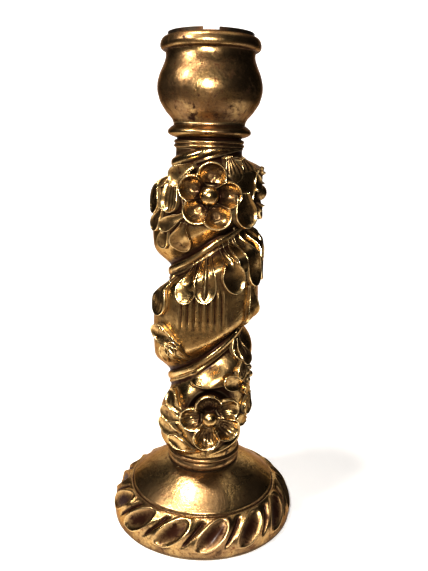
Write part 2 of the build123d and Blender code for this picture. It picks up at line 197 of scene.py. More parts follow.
def makeGilding(name, wear, crackle, tan, mottled, dullness):
    material, tree, shader = newMaterial(name)
    place = tree.nodes.new("ShaderNodeTexCoord").outputs["Object"]
    broad = addNoise(tree, place, gilding["broadScale"], 5, 0.6, 0.4)
    fine = addNoise(tree, place, gilding["fineScale"], 6, 0.62)
    speck = addNoise(tree, place, gilding["speckScale"], 4, 0.7)
    streak = tree.nodes.new("ShaderNodeMapping")
    streak.inputs["Scale"].default_value = (1, 1, gilding["brushedStretch"])
    tree.links.new(place, streak.inputs["Vector"])
    brushed = addNoise(tree, streak.outputs["Vector"], gilding["brushedScale"], 5, 0.6)
    cells = tree.nodes.new("ShaderNodeTexVoronoi")
    cells.feature = "DISTANCE_TO_EDGE"
    cells.inputs["Scale"].default_value = gilding["crackScale"]
    cells.inputs["Randomness"].default_value = 0.9
    tree.links.new(place, cells.inputs["Vector"])
    crack = addRange(tree, cells.outputs["Distance"], 0.0, 0.06, 1, 0)
    # pointiness: convex edges get a painted highlight, partly rubbed wear, and concave creases get painted
    # shade
    point = tree.nodes.new("ShaderNodeNewGeometry").outputs["Pointiness"]
    edge = addRange(tree, point, 0.51, 0.58)
    pit = addRange(tree, point, 0.49, 0.43)
    # painted shade: the ambient occlusion darkens hollows and the gaps between parts
    shade = tree.nodes.new("ShaderNodeAmbientOcclusion")
    shade.inputs["Distance"].default_value = gilding["hollowReach"]
    shade.samples = 8
    hollow = addRange(tree, shade.outputs["AO"], 0.86, 0.36)
    recess = tree.nodes.new("ShaderNodeAttribute")
    recess.attribute_name = "recess"
    # dark: painted shade from the occlusion, the creases and the recess attribute, with random patches of old
    # wax added below
    dark = addMath(tree, "ADD", addMath(tree, "MULTIPLY", hollow, 0.85), addMath(tree, "MULTIPLY", pit, 0.5))
    dark = addMath(tree, "ADD", dark, recess.outputs["Fac"])
    mottle = addNoise(tree, place, gilding["mottleScale"], 6, 0.66, 0.6)
    patches = addMath(tree, "MULTIPLY", addRange(tree, mottle, 0.5, 0.72), mottled)
    dark = addMath(tree, "ADD", dark, patches)
    ragged = addRange(tree, addMath(tree, "ADD", dark, addMath(tree, "MULTIPLY", fine, 0.42)), 0.34, 1.02)
    tanShare = addRange(tree, broad, 0.62 - tan * 0.4, 0.9 - tan * 0.4)
    leaf = addMix(tree, tanShare, gilding["leafColor"], gilding["tanColor"])
    brushedShare = addMath(tree, "MULTIPLY", addRange(tree, brushed, 0.45, 0.75), 0.35)
    leaf = addMix(tree, brushedShare, leaf, gilding["brushedColor"])
    boleShare = addRange(tree, addMath(tree, "ADD", fine, addMath(tree, "MULTIPLY", speck, 0.35)),
                         0.98 - wear, 1.1 - wear * 0.6)
    worn = addMix(tree, boleShare, leaf, gilding["boleColor"])
    cracked = addMix(tree, addMath(tree, "MULTIPLY", crack, crackle), worn, gilding["crackColor"])
    # painted shade, with dark wax, laid over the leaf
    shadedAndStained = addMix(tree, ragged, cracked, gilding["patinaAndShadeColor"])
    # painted highlight, partly rubbed wear: convex edges and marks below zero turn pale
    handledHighlight = addRange(tree, recess.outputs["Fac"], -0.05, -0.6)
    bright = addMath(tree, "MULTIPLY", edge, 0.6)
    bright = addMath(tree, "ADD", bright, addMath(tree, "MULTIPLY", handledHighlight, 0.75))
    rubbedHighlight = addMix(tree, bright, shadedAndStained, gilding["rubbedHighlightColor"])
    tree.links.new(rubbedHighlight, shader.inputs["Base Color"])
    rough = addRange(tree, addMath(tree, "ADD", broad, addMath(tree, "MULTIPLY", fine, 0.3)), 0.3, 0.95,
                     gilding["roughnessLow"] + dullness, gilding["roughnessHigh"] + dullness)
    rough = addMath(tree, "ADD", rough, addMath(tree, "MULTIPLY", ragged, gilding["waxRoughness"]))
    tree.links.new(rough, shader.inputs["Roughness"])
    metal = addRange(tree, ragged, 0.2, 1.0, 1.0, gilding["waxMetallic"])
    tree.links.new(metal, shader.inputs["Metallic"])
    shader.inputs["Specular IOR Level"].default_value = 0.5
    shader.inputs["Specular Tint"].default_value = gilding["glossTint"]
    shader.inputs["Coat Weight"].default_value = gilding["coat"]
    shader.inputs["Coat Roughness"].default_value = gilding["coatRoughness"]
    heights = addMath(tree, "MULTIPLY", fine, 0.5)
    heights = addMath(tree, "ADD", heights, addMath(tree, "MULTIPLY", brushed, 0.3))
    heights = addMath(tree, "SUBTRACT", heights, addMath(tree, "MULTIPLY", crack, 0.4 * crackle))
    wave = tree.nodes.new("ShaderNodeBump")
    wave.inputs["Strength"].default_value = 0.5
    wave.inputs["Distance"].default_value = gilding["unevenDepth"]
    tree.links.new(broad, wave.inputs["Height"])
    bump = tree.nodes.new("ShaderNodeBump")
    bump.inputs["Strength"].default_value = 0.35
    bump.inputs["Distance"].default_value = gilding["grainDepth"]
    tree.links.new(heights, bump.inputs["Height"])
    tree.links.new(wave.outputs["Normal"], bump.inputs["Normal"])
    tree.links.new(bump.outputs["Normal"], shader.inputs["Normal"])
    return material


def makeDarkMetal(name, color, roughLow, roughHigh):
    material, tree, shader = newMaterial(name)
    place = tree.nodes.new("ShaderNodeTexCoord").outputs["Object"]
    broad = addNoise(tree, place, 90, 5, 0.6)
    fine = addNoise(tree, place, 700, 5, 0.6)
    rust = addRange(tree, addMath(tree, "ADD", broad, addMath(tree, "MULTIPLY", fine, 0.4)), 0.62, 0.86)
    tree.links.new(addMix(tree, rust, color, rustColor), shader.inputs["Base Color"])
    tree.links.new(addRange(tree, fine, 0.3, 0.7, roughLow, roughHigh), shader.inputs["Roughness"])
    shader.inputs["Metallic"].default_value = 0.85
    bump = tree.nodes.new("ShaderNodeBump")
    bump.inputs["Strength"].default_value = 0.4
    bump.inputs["Distance"].default_value = 0.0003
    tree.links.new(fine, bump.inputs["Height"])
    tree.links.new(bump.outputs["Normal"], shader.inputs["Normal"])
    return material


carvedGold, turnedGold, footGold = (makeGilding(name, **finish) for name, finish in finishes.items())
linerMetal, ironMetal = (makeDarkMetal(name, **finish) for name, finish in darkMetals.items())

print("Stage 3: column")

column = {
    "foot": 62.0,
    "top": 316.0,
    "neckRadius": 26.0,
    "footRadius": 30.2,
    "valleyRadius": 28.2,
    "valleyAbove": 14.5,         # half width of the groove above the vine
    "bandOffset": 1.6,           # the vine is a broad band with a thin bead under it
    "bandWidth": 3.5,
    "bandHeight": 3.4,
    "beadOffset": -3.9,
    "beadWidth": 1.5,
    "beadHeight": 2.0,
    "valleySteepness": 3.0,
    "topEdge": 300.5,            # height where the carved shaft narrows to its neck, and its tilt
    "topTilt": 5.0,
    "footEdge": 70.0,
    "footTilt": 6.5,
    "unevenness": 0.5,
    "waxAndShadeInGroove": 0.3,
    "waxAndShadeBesideVine": 0.42,
    "waxAndShadeRoundFlowers": 0.5,
    "rubbedHighlightVine": 0.5,
    "rows": 254,
    "columns": 390,
}
# where the middle of the vine passes, as turns in degrees along the screw and heights in mm
vineTurns = [-450, -360, -300, -200, -100, -60, -40, -20, 0, 20, 40, 60, 90, 180, 270, 300, 320, 337, 350,
             364, 378, 393, 412, 440, 540, 600, 630, 660, 691, 722, 736, 762, 810, 900]
vineHeights = [37, 59, 72, 96, 121, 130, 135, 141, 148, 156, 163, 168, 172, 194, 215, 220, 225, 230, 235,
               240.5, 245, 248.5, 253, 257, 281, 297, 302.5, 305, 308, 313, 315, 318, 322, 328]
turnTable = np.arange(-460, 911, 1.0)
heightTable = np.interp(turnTable, vineTurns, vineHeights)
heightTable = np.convolve(np.pad(heightTable, 12, mode="edge"), np.ones(25) / 25, mode="valid")
# radius of the bare swell along the screw, from the turn of the vine under it
swellTurns = [-540, -450, -360, -270, -180, -110, -60, 900]
swellRadii = [36.0, 37.0, 38.0, 39.5, 41.0, 42.8, 43.4, 43.4]
# half width of the groove below the vine, from the vine's own turn
belowTurns = [-200, -130, -60, 30, 90, 180, 900]
belowWidths = [11.5, 18.5, 18.0, 15.0, 12.0, 11.5, 11.5]
# beds sunk for the flowers: turn, height and radius
flowerBeds = [(1.1, 282.5, 21.0), (8.0, 104.0, 23.0), (78, 283, 19.0), (180, 237, 20.0), (180, 149.5, 20.0)]
bedDepth = 5.0
bedArc = math.radians(42.0)      # mm round the shaft for each degree
# short flutes under the fan of leaves: angles and heights between which they fade in and out
flutes = {"left": (-33, -27), "right": (25, 17), "low": (177, 187), "high": (212, 204), "pitch": 7.2,
          "shift": 1.5, "height": 2.8, "depth": 1.8}
# ledge above the lower flower
ledge = {"left": (-26, -12), "right": (38, 24), "low": (100, 112), "high": (146, 134), "edge": (126.5, 129.0),
         "sag": 0.004, "height": 3.6, "depth": 1.2}


def vineHeight(turn):
    return np.interp(turn, turnTable, heightTable)


def vineUnder(angle, height):
    # turn along the screw of the vine that passes under a point
    turn = angle - 360.0 + 0 * height
    for passing in range(0, 3):
        higher = angle + 360.0 * passing
        turn = np.where(vineHeight(higher) <= height, higher, turn)
    return turn


def bareRadius(angle, height):
    # column without vine, flutes, ledge or beds for the flowers
    under = vineUnder(angle, height)
    over = under + 360
    aboveShare = np.clip(height - vineHeight(under), 0, 99) / column["valleyAbove"]
    belowShare = np.clip(vineHeight(over) - height, 0, 99) / np.interp(over, belowTurns, belowWidths)
    above = np.exp(-aboveShare ** column["valleySteepness"])
    below = np.exp(-belowShare ** column["valleySteepness"])
    swell = np.interp(under, swellTurns, swellRadii) + 0.5 * np.cos(np.radians(height * 4.2))
    radius = swell - (swell - column["valleyRadius"]) * np.maximum(above, below)
    topEdge = column["topEdge"] + column["topTilt"] * np.sin(np.radians(angle))
    topShare = smooth(topEdge - 5.5, topEdge + 6.5, height)
    radius = radius + (column["neckRadius"] - radius) * topShare
    footEdge = column["footEdge"] + column["footTilt"] * np.sin(np.radians(angle))
    footShare = smooth(footEdge + 9, footEdge - 7, height)
    return radius + (column["footRadius"] - radius) * footShare


def vineDistance(angle, height):
    # signed height above the nearest pass of the vine
    under = vineUnder(angle, height)
    above = height - vineHeight(under)
    below = height - vineHeight(under + 360)
    return np.where(above < -below, above, below)


def window(place, angle, height):
    # share of a carved patch, which fades in and out at its four sides
    sides = smooth(*place["left"], angle) * smooth(*place["right"], angle)
    return sides * smooth(*place["low"], height) * smooth(*place["high"], height)


def fromBed(angle, height, turn, middle):
    # distance in mm from the middle of a flower's bed
    across = ((angle - turn + 180) % 360 - 180) * bedArc
    return np.sqrt(across ** 2 + (height - middle) ** 2)


def carvedRadius(angle, height):
    radius = bareRadius(angle, height)
    distance = vineDistance(angle, height)
    inGroove = smooth(column["footRadius"] + 10, column["footRadius"] + 4, radius) * smooth(64, 74, height)
    band = np.exp(-((distance - column["bandOffset"]) / column["bandWidth"]) ** 4)
    bead = bell(distance - column["beadOffset"], column["beadWidth"])
    radius = radius + (column["bandHeight"] * band + column["beadHeight"] * bead) * inGroove
    ribs = np.abs(np.cos(np.radians((angle + flutes["shift"]) * 180 / flutes["pitch"]))) ** 0.6
    radius = radius + window(flutes, angle, height) * (ribs * flutes["height"] - flutes["depth"])
    low, high = (edge + ledge["sag"] * angle ** 2 for edge in ledge["edge"])
    step = smooth(low, high, height)
    radius = radius + window(ledge, angle, height) * (step * ledge["height"] - ledge["depth"])
    for turn, middle, reach in flowerBeds:
        radius = radius - bedDepth * smooth(reach, reach - 5, fromBed(angle, height, turn, middle))
    return radius


def wobble(grid, amount, scale):
    # slow unevenness of hand carving, in mm
    moved = grid.copy()
    flat = moved.reshape(-1, 3)
    for number in range(len(flat)):
        spot = Vector(flat[number]) * scale
        outward = Vector((flat[number][0], flat[number][1], 0))
        if outward.length > 1e-6:
            flat[number] += np.array(outward.normalized()) * noise.noise(spot) * amount * mm
    return moved


def buildColumn():
    angles = np.linspace(-180, 180, column["columns"], endpoint=False)
    heights = np.linspace(column["foot"], column["top"], column["rows"])
    angleGrid, heightGrid = np.meshgrid(angles, heights)
    radii = carvedRadius(angleGrid, heightGrid)
    grid = wobble(around(angleGrid, radii, heightGrid), column["unevenness"], 70)
    # the deeper the groove, the more painted shade, with wax
    recess = np.clip((40.0 - radii) / 16.0, 0, 1) * column["waxAndShadeInGroove"]
    # painted shade, with old wax, lies along both sides of the vine and round the flowers, and the vine
    # itself gets a painted highlight where it is rubbed bright
    distance = np.abs(vineDistance(angleGrid, heightGrid) - 0.6)
    carved = smooth(64, 76, heightGrid)
    recess = recess + column["waxAndShadeBesideVine"] * bell(distance - 7.4, 2.2) * carved
    recess = recess - column["rubbedHighlightVine"] * bell(distance - 1.0, 1.6) * carved
    for turn, middle, reach in flowerBeds:
        nearness = smooth(reach + 7, reach - 1, fromBed(angleGrid, heightGrid, turn, middle))
        recess = recess + column["waxAndShadeRoundFlowers"] * nearness
    return gridObject("CarvedColumn", grid, recess)


finishPiece(buildColumn(), carvedGold, "gilt_wood", "candlestick", "column")

print("Stage 4: leaves and flowers")

leafSteps = {"along": 44, "across": 25, "under": 7}
reliefRadius = 43.0              # on which flat widths are bent round the column
carvedUnevenness = 0.35
# a leaf's shape, where its own line says nothing else, with lengths in mm:
# tip, neck and bowl set the outline, hollow and power the bowl's depth, rim the raised edge
# the bowl gets painted shade with wax, the underside painted shade, and the rim a painted highlight, partly
# rubbed wear
leafShape = {"tip": 0.35, "bowl": 0.34, "neck": 1.0, "thick": 3.8, "hollow": 0.8, "power": 2.4, "midrib": 0.0,
             "ribs": 0, "ribDepth": 0.5, "bend": 0.0, "curl": 0.0, "base": None, "sink": 1.6, "tipThick": 0.6,
             "round": 0.08, "rim": 0.45, "waxAndShadeInBowl": 0.28, "shadeUnderneath": 0.7, "rubbedHighlightRim": 0.7}


def leafGrid(place):
    # rows run from the round end to the narrow end, and each goes over the top and back underneath
    shape = {**leafShape, **place}
    along = np.linspace(0, 1, leafSteps["along"]) ** 1.25
    across = np.sin(np.linspace(-math.pi / 2, math.pi / 2, leafSteps["across"]))
    bowl = shape["bowl"]
    endShare = np.clip((bowl - along) / bowl, 0, 1)
    narrowing = smooth(bowl, shape["neck"], along)
    widths = np.where(along < bowl, np.sqrt(np.clip(1 - endShare ** 2, 0, 1)),
                      1 - (1 - shape["tip"]) * narrowing)
    widths = np.maximum(widths, 0.02)
    rows, marks = [], []
    for share, width, end in zip(along, widths, endShare):
        reach = np.sqrt((across * width) ** 2 + end ** 2) if end > 0 else np.abs(across)
        reach = np.clip(reach, 0, 1)
        thickness = shape["thick"] * (shape["tipThick"] + (1 - shape["tipThick"]) * smooth(1.0, bowl, share))
        lift = thickness * (1 - shape["hollow"] + shape["hollow"] * reach ** shape["power"])
        start = 1 - shape["round"]
        rim = np.sqrt(np.clip(1 - (np.clip(reach - start, 0, 1) / shape["round"]) ** 2, 0, 1))
        lift = lift * (0.35 + 0.65 * rim) + shape["rim"] * bell(reach - 0.93, 0.08)
        lift = lift + shape["midrib"] * bell(across, 0.13) * smooth(0.02, 0.2, share) * (1 - reach ** 6)
        if shape["ribs"]:
            ribs = np.abs(np.cos(across * shape["ribs"] * math.pi / 2)) - 0.6
            lift = lift + shape["ribDepth"] * ribs * (1 - reach ** 5) * smooth(0.0, 0.25, share)
        lift = lift + shape["curl"] * end ** 2
        sideways = across * width * shape["halfWidth"]
        forward = (share - 0.5) * shape["length"]
        sideways = sideways + shape["bend"] * (share - 0.5) ** 2 * 4
        under = np.linspace(1, -1, leafSteps["under"] + 2)[1:-1] * width * shape["halfWidth"]
        under = under + shape["bend"] * (share - 0.5) ** 2 * 4
        x = np.concatenate([sideways, under])
        h = np.concatenate([lift, np.full(len(under), -shape["sink"])])
        h[0] = h[leafSteps["across"] - 1] = -shape["sink"] * 0.6
        if end >= 0.999:
            h[:] = -shape["sink"] * 0.6
        rows.append((x, np.full(len(x), forward), h))
        # painted shade in the bowl and underneath, painted highlight along the rim
        edgeMark = shape["waxAndShadeInBowl"] * (1 - reach ** 2) - shape["rubbedHighlightRim"] * bell(reach - 0.93, 0.07)
        marks.append(np.concatenate([edgeMark, np.full(len(under), shape["shadeUnderneath"])]))
    x, y, lift = (np.array(part) for part in zip(*rows))
    lean = math.radians(shape["lean"])
    right = x * math.cos(lean) + y * math.sin(lean)
    up = -x * math.sin(lean) + y * math.cos(lean)
    angle = shape["turn"] + np.degrees(right / reliefRadius)
    height = shape["height"] + up
    angle = (angle + 180) % 360 - 180
    base = bareRadius(angle, height) if shape["base"] is None else shape["base"] + 0 * angle
    return around(angle, base + lift, height), np.array(marks)


def joinGrids(name, grids):
    points, faces, marks, first = [], [], [], 0
    for grid, recess in grids:
        rows, columns = grid.shape[:2]
        points.append(grid.reshape(-1, 3))
        marks.append(recess.reshape(-1))
        faces.extend(gridFaces(rows, columns, first))
        first += rows * columns
    return makeMesh(name, np.concatenate(points), faces, np.concatenate(marks))


fan = {
    "fan_leaf_1": dict(turn=-55, height=201, lean=10, length=32, halfWidth=9.4, ribs=5, ribDepth=1.1,
                       hollow=0.3),
    "fan_leaf_2": dict(turn=-19.5, height=217, lean=9, length=36, halfWidth=8.2, thick=4.4, tip=0.25,
                       neck=0.8),
    "fan_leaf_3": dict(turn=-1, height=219.5, lean=3, length=38, halfWidth=8.6, thick=3.4, midrib=2.4,
                       tip=0.5),
    "fan_leaf_4": dict(turn=25, height=228, lean=-14, length=42, halfWidth=9.4, thick=5.0, hollow=0.85,
                       tip=0.25, neck=0.75, rim=0.7),
    "fan_leaf_5": dict(turn=53, height=234, lean=-12, length=48, halfWidth=8.8, thick=4.6, tip=0.5,
                       bowl=0.28),
    "fan_leaf_6": dict(turn=80, height=232, lean=-6, length=40, halfWidth=8.6),
    "fan_leaf_7": dict(turn=106, height=238, lean=-4, length=38, halfWidth=8.6),
}
singles = {
    "crown_leaf_left": dict(turn=-29, height=298.5, lean=52, length=22, halfWidth=7.4, thick=5.4, hollow=0.45,
                            bend=2, rim=0.6, base=40.6, sink=9),
    "crown_leaf_right": dict(turn=26, height=301, lean=-20, length=20, halfWidth=8.6, ribs=5, ribDepth=1.6,
                             hollow=0.1, thick=4.0, base=38.4, sink=9),
    "side_leaf_upper": dict(turn=-38, height=279.6, lean=2, length=22, halfWidth=7.6, ribs=5, ribDepth=0.9,
                            thick=5.4, tip=0.8, bowl=0.42, hollow=0.6),
    "side_leaf_outer": dict(turn=-62, height=281, lean=3, length=30, halfWidth=6.6, thick=4.6, hollow=0.5),
    "side_leaf_lower": dict(turn=-37, height=262, lean=60, length=24, halfWidth=5.6, thick=4.4, hollow=0.3),
    "vine_leaf_left": dict(turn=-26.5, height=250, lean=14, length=25, halfWidth=7.8, thick=4.8, hollow=0.85,
                           tip=0.3, bowl=0.42),
    "curled_leaf_left": dict(turn=-44, height=170, lean=112, length=28, halfWidth=7.6, thick=5.2, curl=2.0,
                             hollow=0.6),
    "tapered_leaf_right": dict(turn=56, height=193, lean=-6, length=38, halfWidth=8.2, thick=4.2, hollow=0.2),
    "vine_leaf_right": dict(turn=54, height=162, lean=20, length=28, halfWidth=7.0, ribs=9, ribDepth=1.0,
                            hollow=0.1),
    "curled_leaf_right": dict(turn=38, height=131, lean=112, length=28, halfWidth=6.8, thick=5.4, curl=2.4,
                              hollow=0.5),
    "shard_leaf_upper": dict(turn=61, height=110, lean=30, length=20, halfWidth=6.0, thick=4.6, hollow=0.3),
    "shard_leaf_lower": dict(turn=50, height=97, lean=108, length=18, halfWidth=5.2, thick=4.4, hollow=0.3),
    "foot_leaf_upper": dict(turn=-41, height=113, lean=118, length=27, halfWidth=7.0, thick=5.2, hollow=0.5),
    "foot_leaf_middle": dict(turn=-42, height=101, lean=100, length=28, halfWidth=7.0, thick=5.2, hollow=0.5),
    "foot_leaf_outer": dict(turn=-46, height=89, lean=104, length=28, halfWidth=7.0, thick=5.0, hollow=0.5),
    "foot_leaf_lower": dict(turn=-27, height=78, lean=112, length=28, halfWidth=6.4, thick=4.8, hollow=0.5),
    "rear_leaf_upper": dict(turn=-132, height=262, lean=20, length=28, halfWidth=7.4),
    "rear_leaf_middle": dict(turn=-130, height=168, lean=16, length=32, halfWidth=8.2),
    "rear_leaf_lower": dict(turn=130, height=140, lean=18, length=30, halfWidth=7.6),
}
# small leaves carved out of the same block as the column
sprays = {
    "CuppedLeafRight": dict(turn=37, height=271, lean=-10, length=26, halfWidth=9.4, base=43.6, sink=4,
                            ribs=7, ribDepth=0.5, thick=6.6, hollow=0.75, rim=0.8, tip=0.6, bowl=0.45),
    "TopLeafMiddle": dict(turn=45, height=301, lean=-30, length=19, halfWidth=6.6, ribs=3, ribDepth=1.2,
                          hollow=0.2, thick=5.0, base=37.6, sink=9),
    "TopLeafOuter": dict(turn=59, height=293, lean=-38, length=20, halfWidth=6.2, hollow=0.4, thick=5.0,
                         base=39.6, sink=7),
    "SideLeafTop": dict(turn=-50, height=296, lean=20, length=18, halfWidth=6.0, hollow=0.5, thick=4.6),
    "SideLeafBottom": dict(turn=-58, height=262, lean=30, length=20, halfWidth=6.0, hollow=0.4, thick=4.4),
    "VineLeafStem": dict(turn=-47, height=250, lean=24, length=22, halfWidth=5.4, hollow=0.5, thick=3.4),
    "FanStem": dict(turn=37, height=238, lean=-8, length=30, halfWidth=4.2, hollow=0.1, thick=3.6, tip=0.5),
    "SideCurlUpper": dict(turn=-50, height=172, lean=96, length=22, halfWidth=5.6, hollow=0.4, thick=4.4,
                          curl=1.6),
    "SideCurlLower": dict(turn=-36, height=157, lean=172, length=18, halfWidth=4.6, hollow=0.5, thick=4.4),
    "SideCurlInner": dict(turn=-29, height=160, lean=140, length=20, halfWidth=4.6, hollow=0.5, thick=4.4),
    "SideCurlOuter": dict(turn=-46, height=155, lean=200, length=18, halfWidth=4.6, hollow=0.5, thick=4.4),
    "SwagLeafUpper": dict(turn=58, height=156, lean=12, length=24, halfWidth=6.0, ribs=7, ribDepth=1.2,
                          hollow=0.1, thick=4.4),
    "SwagLeafLower": dict(turn=48, height=142, lean=24, length=18, halfWidth=5.4, ribs=5, ribDepth=1.2,
                          hollow=0.1, thick=4.2),
    "SwagTip": dict(turn=58, height=121, lean=132, length=18, halfWidth=4.2, hollow=0.3, thick=5.0, curl=1.6),
}
for node, place in {**fan, **singles}.items():
    name = "".join(word.capitalize() for word in node.replace("crown", "top").split("_"))
    grid, recess = leafGrid(place)
    leaf = gridObject(name, wobble(grid, carvedUnevenness, 160), recess)
    finishPiece(leaf, carvedGold, "gilt_wood", "candlestick", node)

# berries beside the swag: turn, height and radius
berries = [(47, 155, 3.0), (56, 150, 2.6), (64, 146, 3.0), (52, 138, 2.6), (60, 137, 3.2), (68, 139, 2.6),
           (66, 128, 2.6), (72, 132, 3.0), (-57, 276, 2.8), (-50, 254, 2.6)]


def buildBerries():
    grids = []
    for turn, height, radius in berries:
        polar = np.linspace(0.02, math.pi - 0.02, 12)[:, None]
        spin = np.radians(np.linspace(0, 360, 18, endpoint=False))[None, :]
        right = radius * np.sin(polar) * np.cos(spin)
        up = radius * np.sin(polar) * np.sin(spin)
        angle = turn + np.degrees(right / reliefRadius)
        seat = bareRadius(np.full(1, turn), np.full(1, height))[0] + 0.6
        grid = around(angle, seat - radius * np.cos(polar) + 0 * spin, height + up)
        # darker towards the shaft: painted shade where each berry meets the column
        grids.append((grid, 0.3 + 0.3 * np.cos(polar) + 0 * spin))
    return joinGrids("SwagBerries", grids)


for name, place in sprays.items():
    grid, recess = leafGrid(place)
    leaf = gridObject(name, wobble(grid, carvedUnevenness, 160), recess)
    finishPiece(leaf, carvedGold, "gilt_wood", "candlestick")

finishPiece(buildBerries(), carvedGold, "gilt_wood", "candlestick")

flowers = {
    # each petal: direction in degrees from the right, and reach from the flower's middle in mm
    "upper_front": dict(turn=1.1, height=282.5, bud=7.2, halfWidth=10.8,
                        petals=[(84, 25.5), (156, 23.5), (232, 24.5), (291, 26.5), (3, 24.0)]),
    "upper_right": dict(turn=78, height=283, bud=6.4, halfWidth=10.6, floor=37.0,
                        petals=[(60, 21.5), (132, 21.5), (204, 21.5), (276, 21.5), (348, 21.5)]),
    "lower_front": dict(turn=6, height=105.5, bud=6.2, halfWidth=10.6, folds=33,
                        petals=[(95, 21.5), (180, 23.5), (262, 27.0), (325, 27.5), (28, 25.0)]),
    "upper_rear": dict(turn=180, height=237, bud=6.4, halfWidth=9.2,
                       petals=[(90, 21.0), (162, 21.0), (234, 21.0), (306, 21.0), (18, 21.0)]),
    "lower_rear": dict(turn=180, height=149.5, bud=6.4, halfWidth=9.2,
                       petals=[(90, 21.0), (162, 21.0), (234, 21.0), (306, 21.0), (18, 21.0)]),
}
flowerShape = {"rings": 52, "columns": 260, "under": 5, "floor": 41.4, "back": 36.0, "rimHeight": 6.0,
               "rimWidth": 1.5, "dish": 4.2, "ridge": 2.6, "ridgeWidth": 0.8, "well": 1.2, "middle": 15.0,
               "edgeStrip": 0.9, "edgeDrop": 1.6, "skirtTop": 4.0, "waxAndShadeInDish": 0.42, "shadeOnSkirt": 0.5,
               "rubbedHighlightEdge": 0.8}
budShape = {"rings": 22, "columns": 36, "seat": 3.6}


def buildFlower(name, place):
    # one carved dish whose edge follows the union of the round petals, with ridges where two petals meet
    petalRadius = place["halfWidth"]
    centres = []
    for direction, reach in place["petals"]:
        slant = math.radians(direction)
        centres.append(((reach - petalRadius) * math.cos(slant), (reach - petalRadius) * math.sin(slant)))
    spin = np.radians(np.linspace(0, 360, flowerShape["columns"], endpoint=False))
    edge = np.zeros_like(spin)
    for x, y in centres:
        along = x * np.cos(spin) + y * np.sin(spin)
        across = y * np.cos(spin) - x * np.sin(spin)
        root = petalRadius ** 2 - across ** 2
        edge = np.maximum(edge, np.where(root > 0, along + np.sqrt(np.clip(root, 0, None)), 0))
    edge = (edge + np.roll(edge, 1) + np.roll(edge, -1)) / 3
    shares = 1 - (1 - np.linspace(0.012, 1, flowerShape["rings"])) ** 1.5
    right = shares[:, None] * (edge * np.cos(spin))[None, :]
    up = shares[:, None] * (edge * np.sin(spin))[None, :]
    inside = np.sort([petalRadius - np.hypot(right - x, up - y) for x, y in centres], axis=0)
    best, second = inside[-1], inside[-2]
    inward = np.maximum(best, flowerShape["middle"] - np.hypot(right, up))
    reach = np.hypot(right, up) / edge[None, :]
    rim = bell(best - 1.3, flowerShape["rimWidth"])
    hollow = smooth(0.8, petalRadius * 0.8, inward)
    seam = smooth(0.25, 0.6, reach) * smooth(1.0, 0.85, reach)
    ridge = bell(best - second, flowerShape["ridgeWidth"]) * seam
    out = flowerShape["rimHeight"] * (0.55 + 0.45 * rim) + flowerShape["ridge"] * ridge
    out = out - flowerShape["dish"] * hollow + 1.3 * reach ** 2
    out = out - flowerShape["well"] * smooth(0.5, 0.3, reach)
    folds = np.cos(spin * place["folds"])[None, :] if "folds" in place else 0
    out = out + 0.22 * folds * smooth(0.3, 0.6, reach) * smooth(1.0, 0.85, reach)
    floor = place.get("floor", flowerShape["floor"])
    # the outermost strip of the petals is rounded off
    strip = flowerShape["edgeStrip"]
    outermost = np.clip(strip - inward, 0, strip) / strip
    edgeDrop = (1 - np.sqrt(np.clip(1 - outermost ** 2, 0, 1))) * flowerShape["edgeDrop"]
    depth = floor + out - edgeDrop
    depth[0] = depth[0].mean()
    # painted shade, with wax, in the dish and on the skirt underneath; painted highlight along the petal
    # edges
    recess = flowerShape["waxAndShadeInDish"] * hollow * (1 - ridge) * smooth(1.0, 0.35, reach)
    recess = recess - flowerShape["rubbedHighlightEdge"] * bell(best - 1.1, 0.9)
    for step in range(1, flowerShape["under"] + 1):
        share = 1 - 0.06 * step
        right = np.vstack([right, (share * edge * np.cos(spin))[None, :]])
        up = np.vstack([up, (share * edge * np.sin(spin))[None, :]])
        skirt = floor + flowerShape["skirtTop"]
        drop = skirt - step / flowerShape["under"] * (skirt - flowerShape["back"])
        depth = np.vstack([depth, np.full((1, len(spin)), drop)])
        recess = np.vstack([recess, np.full((1, len(spin)), flowerShape["shadeOnSkirt"])])
    # the flat disc is bent round the swell
    angle = place["turn"] + np.degrees(right / reliefRadius)
    return gridObject("Flower" + name, around(angle, depth, place["height"] + up), recess)


def buildBud(name, place):
    # round button whose rings run from its front over the widest place towards the flower
    rows = []
    radius = place["bud"]
    for step in np.linspace(0, 1, budShape["rings"]):
        slope = step * math.pi * 0.62
        ringRadius = max(radius * math.sin(math.pi - slope - 0.001) if slope > 0 else 0.02, 0.02)
        rows.append((ringRadius, radius * math.cos(slope)))
    ringRadius = np.array([row[0] for row in rows])[::-1]
    depth = np.array([row[1] for row in rows])[::-1]
    spin = np.radians(np.linspace(0, 360, budShape["columns"], endpoint=False))
    right = ringRadius[:, None] * np.cos(spin)[None, :]
    up = ringRadius[:, None] * np.sin(spin)[None, :]
    out = place.get("floor", flowerShape["floor"]) + budShape["seat"] + depth[:, None] + 0 * right
    turn = math.radians(place["turn"])
    outward = np.array([math.sin(turn), -math.cos(turn), 0])
    side = np.array([math.cos(turn), math.sin(turn), 0])
    grid = (out[..., None] * outward + right[..., None] * side) * mm
    grid[..., 2] = (place["height"] + up) * mm
    return gridObject("Bud" + name, grid)


for node, place in flowers.items():
    name = "".join(word.capitalize() for word in node.split("_"))
    finishPiece(buildFlower(name, place), carvedGold, "gilt_wood", "candlestick", "flower_" + node)
    finishPiece(buildBud(name, place), carvedGold, "gilt_wood", "candlestick", "bud_" + node)

print("Stage 5: foot, collars and cup")

